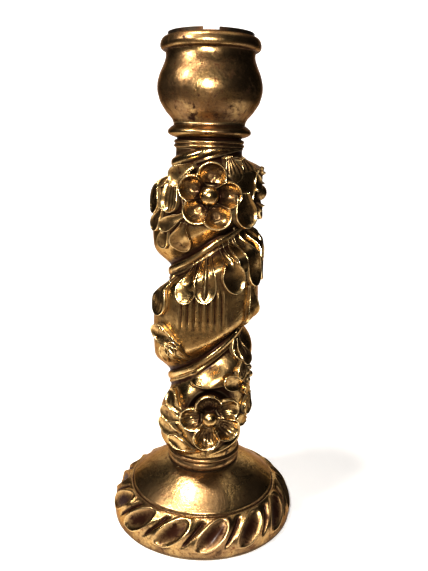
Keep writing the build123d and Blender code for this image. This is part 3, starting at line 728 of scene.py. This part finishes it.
foot = {
    "radius": 78.1,
    "lobes": 14,
    "firstLobe": 7.0,
    "leanShare": 0.62,           # of a lobe's spacing, from the bottom of the ring to its top
    "hollowDepth": 3.4,
    "rimHeight": 0.9,
    "dartDepth": 2.6,
    "ringTop": (63.6, 28.8),     # radius and height
    "domeRim": (61.2, 31.0),
    "domeTop": (31.2, 49.4),
    "underside": 2.6,
    "unevenness": 0.3,
    "waxAndShadeInOvals": 0.62,
    "ringDarkening": 0.18,
    "rubbedHighlightRims": 0.36,
    "rubbedHighlightDome": 0.15,
    "columns": 616,
}


def arcPoints(first, last, bulge, count):
    # bow between two points that stands out by bulge to the right of the way up
    first, last = np.array(first, float), np.array(last, float)
    share = np.linspace(0, 1, count)[:, None]
    chord = last - first
    normal = np.array([chord[1], -chord[0]]) / np.linalg.norm(chord)
    return first + chord * share + normal * bulge * 4 * share * (1 - share)


def buildFoot():
    angles = np.linspace(-180, 180, foot["columns"], endpoint=False)
    # outline of radius and height, from the recess of the underside up to the lower collar
    under = np.array([(14.6, foot["underside"]), (66.0, foot["underside"]), (68.0, 0.02)])
    start = np.array([(75.6, 0.02), (77.2, 0.4), (77.9, 1.4), (foot["radius"], 3.4)])
    ring = arcPoints((foot["radius"], 6.0), foot["ringTop"], 4.4, 58)
    step = np.array([(63.0, 28.9), (62.4, 28.4), (61.9, 28.6), (61.5, 29.6), (61.35, 30.6)])
    dome = arcPoints(foot["domeRim"], foot["domeTop"], 1.4, 34)
    end = np.array([(29.0, 49.45), (16.0, 49.45)])
    outline = np.concatenate([under, start, ring, step, dome, end])
    ringStart = len(under) + len(start)
    share = np.zeros(len(outline))
    share[ringStart:ringStart + len(ring)] = np.linspace(0, 1, len(ring))
    onRing = np.zeros(len(outline))
    onRing[ringStart:ringStart + len(ring)] = 1
    onDome = np.zeros(len(outline))
    onDome[ringStart + len(ring) + len(step):] = 1
    tangent = np.gradient(outline, axis=0)
    tangent /= np.linalg.norm(tangent, axis=1)[:, None]
    normal = np.stack([tangent[:, 1], -tangent[:, 0]], axis=1)
    angleGrid = np.broadcast_to(angles, (len(outline), len(angles)))
    shareGrid = share[:, None] + 0 * angleGrid
    spacing = 360 / foot["lobes"]
    phase = (angleGrid - foot["firstLobe"]) / spacing - foot["leanShare"] * (shareGrid - 0.5)
    lobe = phase - np.round(phase)
    dart = phase - 0.5 - np.round(phase - 0.5)
    oval = np.sqrt((lobe / 0.30) ** 2 + ((shareGrid - 0.50) / 0.43) ** 2)
    offset = -foot["hollowDepth"] * np.clip(1 - oval ** 2, 0, 1) ** 0.75
    offset += foot["rimHeight"] * bell(oval - 1.1, 0.16)
    dartWidth = 0.035 + 0.05 * shareGrid
    dartEnds = smooth(0.08, 0.3, shareGrid) * smooth(0.98, 0.85, shareGrid)
    offset -= foot["dartDepth"] * bell(dart, dartWidth) * dartEnds
    offset *= onRing[:, None] * smooth(0.0, 0.08, shareGrid) * smooth(1.0, 0.94, shareGrid)
    radii = outline[:, :1] + normal[:, :1] * offset
    heights = outline[:, 1:] + normal[:, 1:] * offset
    grid = wobble(around(angleGrid, radii, heights), foot["unevenness"], 45)
    # painted shade, with wax, in the gadroon hollows; the whole ring darker; painted highlight on the rims
    # and the dome, partly rubbed wear
    recess = np.clip(-offset / foot["hollowDepth"], 0, 1) * foot["waxAndShadeInOvals"]
    rims = foot["ringDarkening"] - foot["rubbedHighlightRims"] * bell(oval - 1.08, 0.09)
    recess = recess + rims * onRing[:, None] - foot["rubbedHighlightDome"] * onDome[:, None]
    return gridObject("GadroonedFoot", grid, recess)


def turnedPiece(name, outline, columns=160, unevenness=0.25, scale=60, recess=0.0):
    outline = np.array(outline, float)
    angles = np.linspace(-180, 180, columns, endpoint=False)
    angleGrid = np.broadcast_to(angles, (len(outline), columns))
    grid = around(angleGrid, outline[:, :1] + 0 * angleGrid, outline[:, 1:] + 0 * angleGrid)
    return gridObject(name, wobble(grid, unevenness, scale), np.full(grid.shape[:2], recess))


def splineOutline(points, count):
    # smooth outline near the points, made by rounding the straight runs between them
    points = np.array(points, float)
    length = np.concatenate([[0], np.cumsum(np.linalg.norm(np.diff(points, axis=0), axis=1))])
    even = np.linspace(0, length[-1], count)
    outline = np.stack([np.interp(even, length, points[:, axis]) for axis in (0, 1)], axis=1)
    for number in range(6):
        outline[1:-1] = outline[1:-1] * 0.5 + (outline[:-2] + outline[2:]) * 0.25
    return outline


# outlines of radius and height
lowerCollarOutline = np.concatenate([
    [(15, 49.6)],
    arcPoints((29.6, 49.7), (29.8, 56.6), 1.1, 12),      # band
    arcPoints((29.7, 57.0), (29.4, 61.9), 2.0, 14),      # bead
    [(28.0, 62.0), (15, 62.0)]])
neckCollarOutline = np.concatenate([
    [(13, 316.1), (26.4, 316.1)],
    arcPoints((26.5, 316.3), (26.5, 319.2), 1.1, 8),     # two fine rings
    arcPoints((26.5, 319.5), (26.4, 322.2), 1.0, 8),
    [(25.2, 322.6), (25.1, 323.6)],
    arcPoints((26.4, 324.0), (27.8, 333.2), 5.4, 26),    # torus
    [(28.0, 333.6), (28.0, 334.9), (13, 334.9)]])
cupBelly = [(28.2, 335.4), (28.6, 337.4), (33.6, 342.5), (38.4, 350), (40.6, 358), (40.5, 364), (38.6, 371),
            (35.8, 377), (34.0, 382), (33.8, 385), (34.4, 387)]
cupOutline = np.concatenate([
    [(13, 335.05), (28.0, 335.05)],
    splineOutline(cupBelly, 60),
    arcPoints((35.0, 387.2), (38.3, 391.9), 1.3, 14),    # two rolls of the lip
    arcPoints((38.2, 392.2), (33.8, 397.3), 1.1, 16),
    [(33.0, 397.4), (27.2, 397.4), (27.0, 396.8), (27.0, 362.0), (26.0, 360.0), (4.0, 360.0)]])
# the whole cup is made darker
cupDarkening = 0.2
finishPiece(buildFoot(), footGold, "gilt_wood", "candlestick", "base_plinth")
lowerCollar = turnedPiece("LowerCollar", lowerCollarOutline)
finishPiece(lowerCollar, turnedGold, "gilt_wood", "candlestick", "lower_collar")
neckCollar = turnedPiece("NeckCollar", neckCollarOutline)
finishPiece(neckCollar, turnedGold, "gilt_wood", "candlestick", "neck_collar")
cup = turnedPiece("Cup", cupOutline, 200, recess=cupDarkening)
finishPiece(cup, turnedGold, "gilt_wood", "candlestick", "cup")

for node, material in (("candle_liner", linerMetal), ("base_washer", ironMetal), ("base_screw", ironMetal)):
    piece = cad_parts[node]
    piece.data.materials.clear()
    piece.data.materials.append(material)

print("Stage 6: camera and light")

view = {
    "focal": 600.0,              # in pixels of the photograph
    "longSide": 571.0,
    "distance": 0.4853,
    "height": 0.3225,
    "pitch": 13.65,
    "roll": 1.28,
    "yaw": 0.75,
    "sensor": 36.0,
}
lens = bpy.data.cameras.new("Camera")
lens.sensor_width = view["sensor"]
lens.lens = view["focal"] * view["sensor"] / view["longSide"]
camera = bpy.data.objects.new("Camera", lens)
bpy.context.scene.collection.objects.link(camera)
facing = (Matrix.Rotation(math.radians(-view["yaw"]), 4, "Z")
          @ Matrix.Rotation(math.radians(90 - view["pitch"]), 4, "X")
          @ Matrix.Rotation(math.radians(view["roll"]), 4, "Z"))
camera.matrix_world = Matrix.Translation((0, -view["distance"], view["height"])) @ facing
bpy.context.scene.camera = camera


def addLight(name, place, target, size, power, color):
    lamp = bpy.data.lights.new(name, "AREA")
    lamp.shape = "DISK"
    lamp.size = size
    lamp.energy = power
    lamp.color = color
    made = bpy.data.objects.new(name, lamp)
    bpy.context.scene.collection.objects.link(made)
    direction = Vector(target) - Vector(place)
    aim = direction.to_track_quat("-Z", "Y").to_matrix().to_4x4()
    made.matrix_world = Matrix.Translation(place) @ aim


# place and target in metres, diameter in metres, power in watts
lamps = {
    "NearLight": dict(place=(-0.05, -0.52, 0.42), target=(0, 0, 0.2), size=0.03, power=3.0,
                      color=(1, 0.98, 0.95)),
    "CeilingLight": dict(place=(-0.29, -0.15, 1.25), target=(0, 0, 0.1), size=0.14, power=8.0,
                         color=(1, 0.96, 0.90)),
    "LeftLight": dict(place=(-0.75, -0.50, 0.9), target=(0, 0, 0.25), size=0.22, power=7.0,
                      color=(1, 0.98, 0.95)),
    "CeilingPanel": dict(place=(0.05, 0.15, 1.5), target=(0.05, 0.15, 0), size=1.6, power=5.0,
                         color=(1, 0.94, 0.86)),
}
for name, lamp in lamps.items():
    addLight(name, **lamp)

room = {"color": (0.30, 0.23, 0.18, 1), "strength": 0.05, "exposure": 0.3, "gamma": 0.72}
world = bpy.data.worlds.new("Room")
bpy.context.scene.world = world
world.use_nodes = True
world.node_tree.nodes["Background"].inputs["Color"].default_value = room["color"]
world.node_tree.nodes["Background"].inputs["Strength"].default_value = room["strength"]
bpy.context.scene.view_settings.view_transform = "Standard"
bpy.context.scene.view_settings.exposure = room["exposure"]
bpy.context.scene.view_settings.gamma = room["gamma"]

sheet = {
    "halfWidth": 0.60,
    "front": -0.15,
    "back": 0.85,                # far behind the candlestick; behind the place from which the back is looked at
    "bend": 0.12,
    "height": 0.80,
    "below": 0.0002,             # under the foot, so that the two never share a plane
    "glow": 0.3,
}
board = {"halfWidth": 1.6, "front": -1.9, "back": 1.6, "below": 0.0006}


def makeStagePiece(name, points, faces, finish, scale, detail, grainRoughness, colors, roughness):
    piece = makeMesh(name, np.array(points), faces)
    material, tree, shader = newMaterial(finish)
    place = tree.nodes.new("ShaderNodeTexCoord").outputs["Object"]
    grain = addMix(tree, addNoise(tree, place, scale, detail, grainRoughness), *colors)
    tree.links.new(grain, shader.inputs["Base Color"])
    shader.inputs["Roughness"].default_value = roughness
    piece.data.materials.append(material)
    return tree, shader, grain


def buildStage():
    # pale sheet that lies under the candlestick and sweeps up behind it
    back = sheet["back"]
    bend = sheet["bend"]
    profile = [(sheet["front"], 0.0), (back - bend, 0.0)]
    for number in range(1, 13):
        turn = math.radians(90 * number / 12)
        profile.append((back - bend + bend * math.sin(turn), bend - bend * math.cos(turn)))
    profile.append((back, sheet["height"]))
    points, faces = [], []
    for y, z in profile:
        points += [(-sheet["halfWidth"], y, z - sheet["below"]), (sheet["halfWidth"], y, z - sheet["below"])]
    for number in range(len(profile) - 1):
        faces.append((2 * number, 2 * number + 1, 2 * number + 3, 2 * number + 2))
    tree, shader, paper = makeStagePiece("PaleSheet", points, faces, "PalePaper", 240, 3, 0.5,
                                         ((0.86, 0.86, 0.87, 1), (0.9, 0.9, 0.9, 1)), 0.8)
    # painted light: the sheet glows faintly in its own colour
    tree.links.new(paper, shader.inputs["Emission Color"])
    shader.inputs["Emission Strength"].default_value = sheet["glow"]
    # bare table round the sheet, outside the picture
    wide, front, back, low = board["halfWidth"], board["front"], board["back"], -board["below"]
    points = [(-wide, front, low), (wide, front, low), (wide, back, low), (-wide, back, low)]
    makeStagePiece("TableBoard", points, [(0, 1, 2, 3)], "TableWood", 12, 5, 0.6,
                   ((0.22, 0.18, 0.14, 1), (0.32, 0.27, 0.22, 1)), 0.6)


buildStage()
